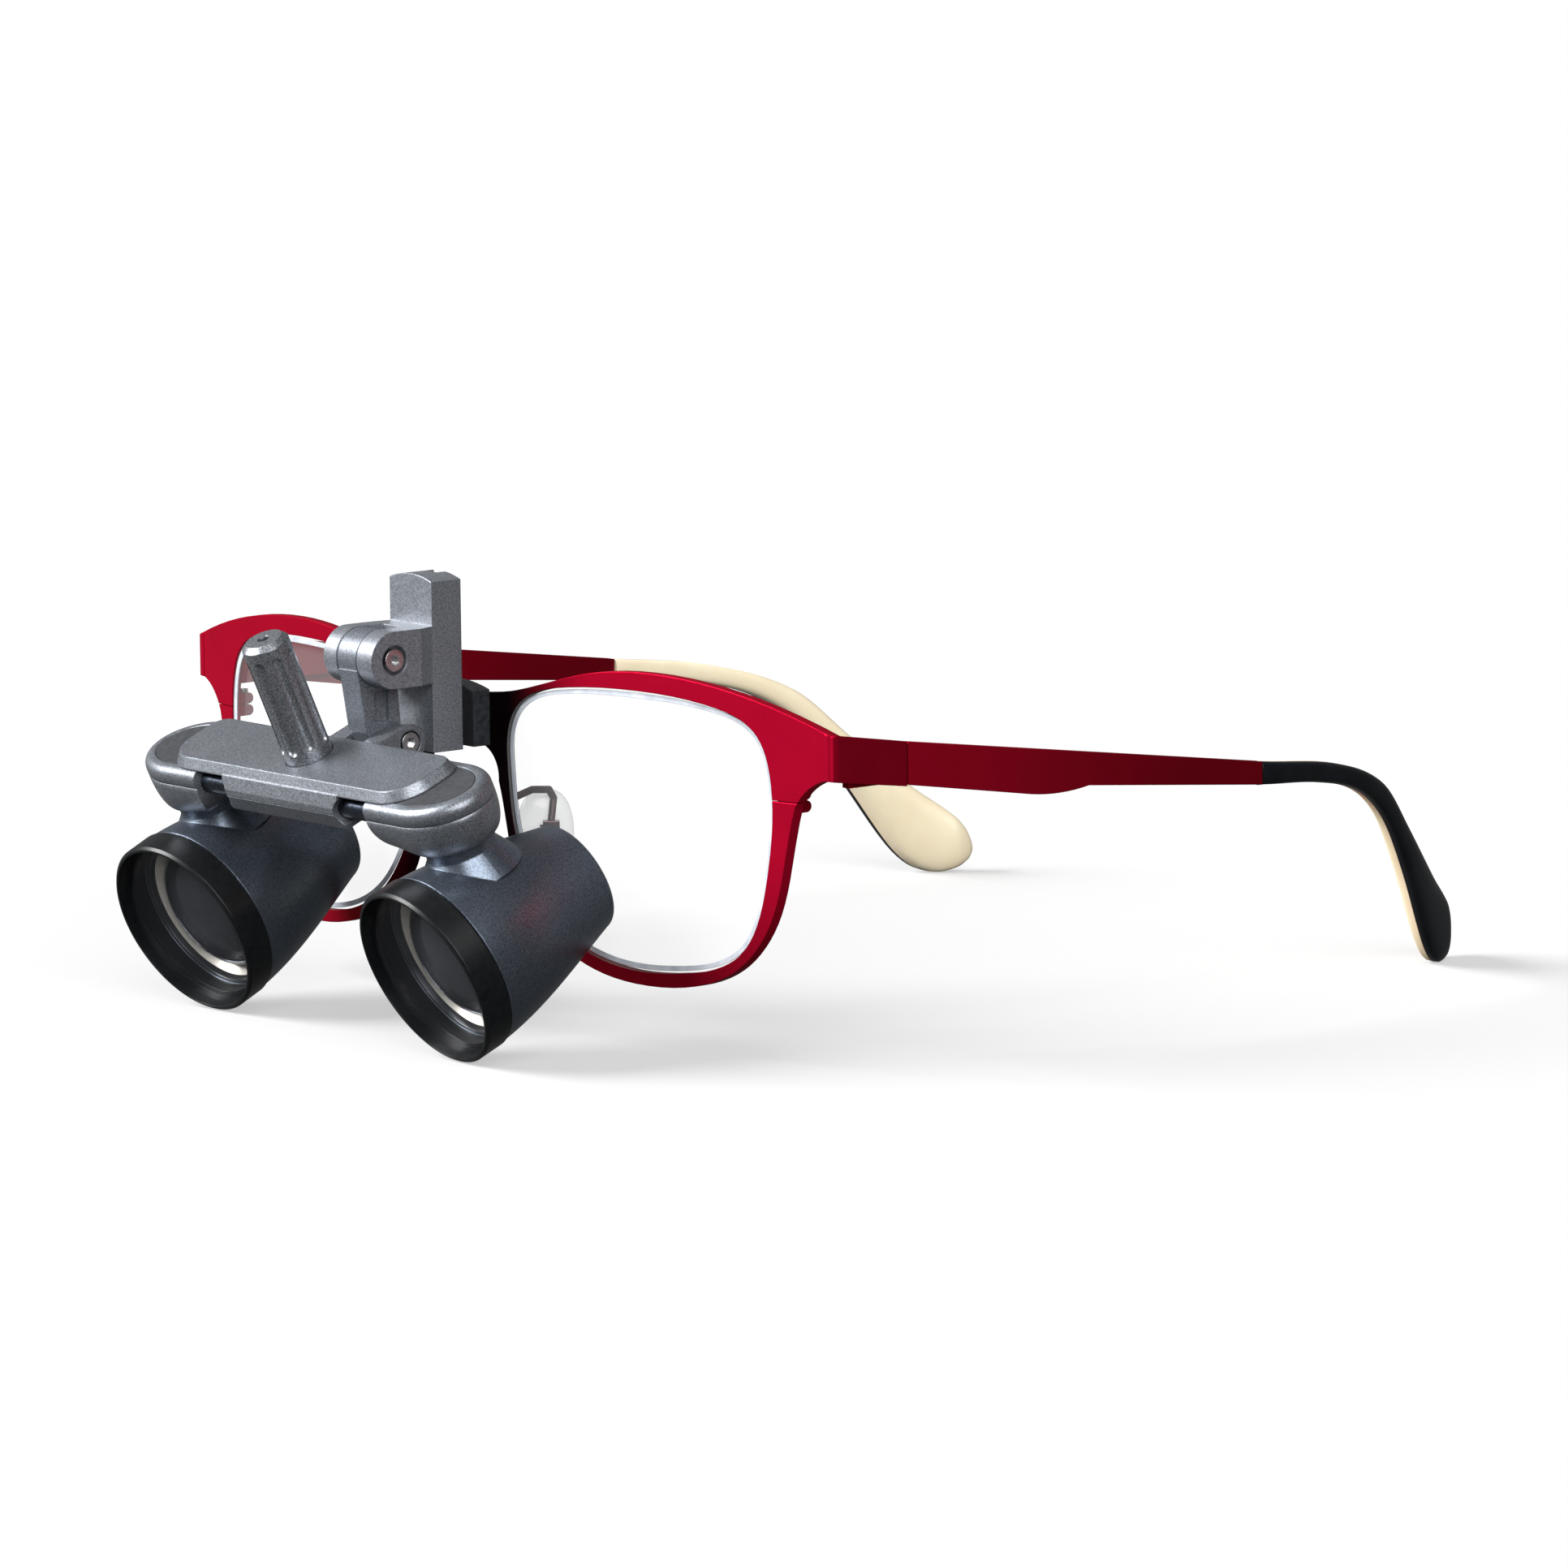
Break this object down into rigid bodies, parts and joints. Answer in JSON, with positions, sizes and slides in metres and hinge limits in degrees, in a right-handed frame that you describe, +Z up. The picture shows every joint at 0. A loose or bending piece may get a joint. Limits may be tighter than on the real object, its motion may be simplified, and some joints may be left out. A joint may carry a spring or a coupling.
{
  "type": "dental loupes",
  "caption": "Full-rim spectacle frame carrying a pair of telescopes on a flip-up, sliding mount, for magnified close work.",
  "frame": {"origin": "middle of the footprint, on the surface the loupes rest on: the rings of both telescopes and both temple tips touch it", "axes": "+X to the wearer's left, +Y back along the temples, +Z up; the telescopes look towards -Y and down"},
  "size_m": [0.1434, 0.1666, 0.0609],
  "materials": {
    "frame": "satin metallic lacquer",
    "lens": "polished, clear",
    "grey": "fine metallic grey paint",
    "dark": "dark grey metallic paint",
    "black": "smooth",
    "steel": "machined",
    "cream": "smooth",
    "silicone": "soft, clear",
    "optic": "coated, deep",
    "ring": "satin black"
  },
  "bodies": {
    "front": {"frame_front": "frame", "lens_left": "lens", "lens_right": "lens", "rim_lock_blocks": "frame", "rim_lock_screws": "steel", "pad_arms": "steel", "pad_socket_left": "steel", "pad_socket_right": "steel", "pad_screw_left": "steel", "pad_screw_right": "steel", "front_hinge_leaves": "steel", "hinge_screws": "steel", "bridge_saddle": "grey", "slide_liner": "black", "clamp_plate": "dark", "clamp_screws": "steel"},
    "post": {"post": "grey", "upper_pivot_screw": "steel"},
    "link": {"flip_link": "grey", "link_washers": "black"},
    "carrier": {"carrier_base": "grey", "carrier_cover": "grey", "cover_screws": "steel", "guide_rods": "steel", "lower_pivot_screw": "steel", "lever_grip": "dark", "lever_screw": "steel"},
    "pad_left": {"nose_pad_left": "silicone"},
    "temple_left": {"temple_left": "frame", "hinge_leaf_left": "steel", "tip_shell_left": "black", "tip_liner_left": "cream"},
    "pod_left": {"pod_upper_left": "grey", "pod_lower_left": "grey", "pod_inlay_left": "black", "pod_screws_left": "steel"},
    "telescope_left": {"barrel_left": "dark", "front_ring_left": "ring", "objective_left": "optic", "baffle_left": "ring", "eyepiece_ring_left": "ring", "eyepiece_left": "optic", "swivel_screw_left": "steel"},
    "pad_right": {"nose_pad_right": "silicone"},
    "temple_right": {"temple_right": "frame", "hinge_leaf_right": "steel", "tip_shell_right": "black", "tip_liner_right": "cream"},
    "pod_right": {"pod_upper_right": "grey", "pod_lower_right": "grey", "pod_inlay_right": "black", "pod_screws_right": "steel"},
    "telescope_right": {"barrel_right": "dark", "front_ring_right": "ring", "objective_right": "optic", "baffle_right": "ring", "eyepiece_ring_right": "ring", "eyepiece_right": "optic", "swivel_screw_right": "steel"}
  },
  "joints": [
    {"name": "post_slide", "type": "slide", "parent": "front", "child": "post", "axis": [0, 0, 1], "range_m": [-0.003, 0.003]},
    {"name": "flip_up", "type": "hinge", "parent": "post", "child": "link", "pos_m": [0, -0.06336, 0.05035], "axis": [-1, 0, 0], "range_deg": [0, 80]},
    {"name": "declination", "type": "hinge", "parent": "link", "child": "carrier", "pos_m": [0, -0.06076, 0.03905], "axis": [-1, 0, 0], "range_deg": [0, 15]},
    {"name": "temple_fold_left", "type": "hinge", "parent": "front", "child": "temple_left", "pos_m": [0.0676, -0.02876, 0.0402], "axis": [0, 0, 1], "range_deg": [0, 84]},
    {"name": "nose_pad_rock_left", "type": "hinge", "parent": "front", "child": "pad_left", "pos_m": [0.01053, -0.04143, 0.026], "axis": [0.5736, 0.8192, 0], "range_deg": [-8, 8]},
    {"name": "pupil_slide_left", "type": "slide", "parent": "carrier", "child": "pod_left", "axis": [1, 0, 0], "range_m": [-0.0025, 0.0025]},
    {"name": "swivel_left", "type": "hinge", "parent": "pod_left", "child": "telescope_left", "pos_m": [0.0278, -0.06947, 0.02871], "axis": [0, -0.4035, 0.915], "range_deg": [-4, 4]},
    {"name": "temple_fold_right", "type": "hinge", "parent": "front", "child": "temple_right", "pos_m": [-0.0676, -0.02876, 0.0402], "axis": [0, 0, -1], "range_deg": [0, 78]},
    {"name": "nose_pad_rock_right", "type": "hinge", "parent": "front", "child": "pad_right", "pos_m": [-0.01053, -0.04143, 0.026], "axis": [-0.5736, 0.8192, 0], "range_deg": [-8, 8]},
    {"name": "pupil_slide_right", "type": "slide", "parent": "carrier", "child": "pod_right", "axis": [-1, 0, 0], "range_m": [-0.0025, 0.0025]},
    {"name": "swivel_right", "type": "hinge", "parent": "pod_right", "child": "telescope_right", "pos_m": [-0.0278, -0.06947, 0.02871], "axis": [0, -0.4035, 0.915], "range_deg": [-4, 4]}
  ]
}
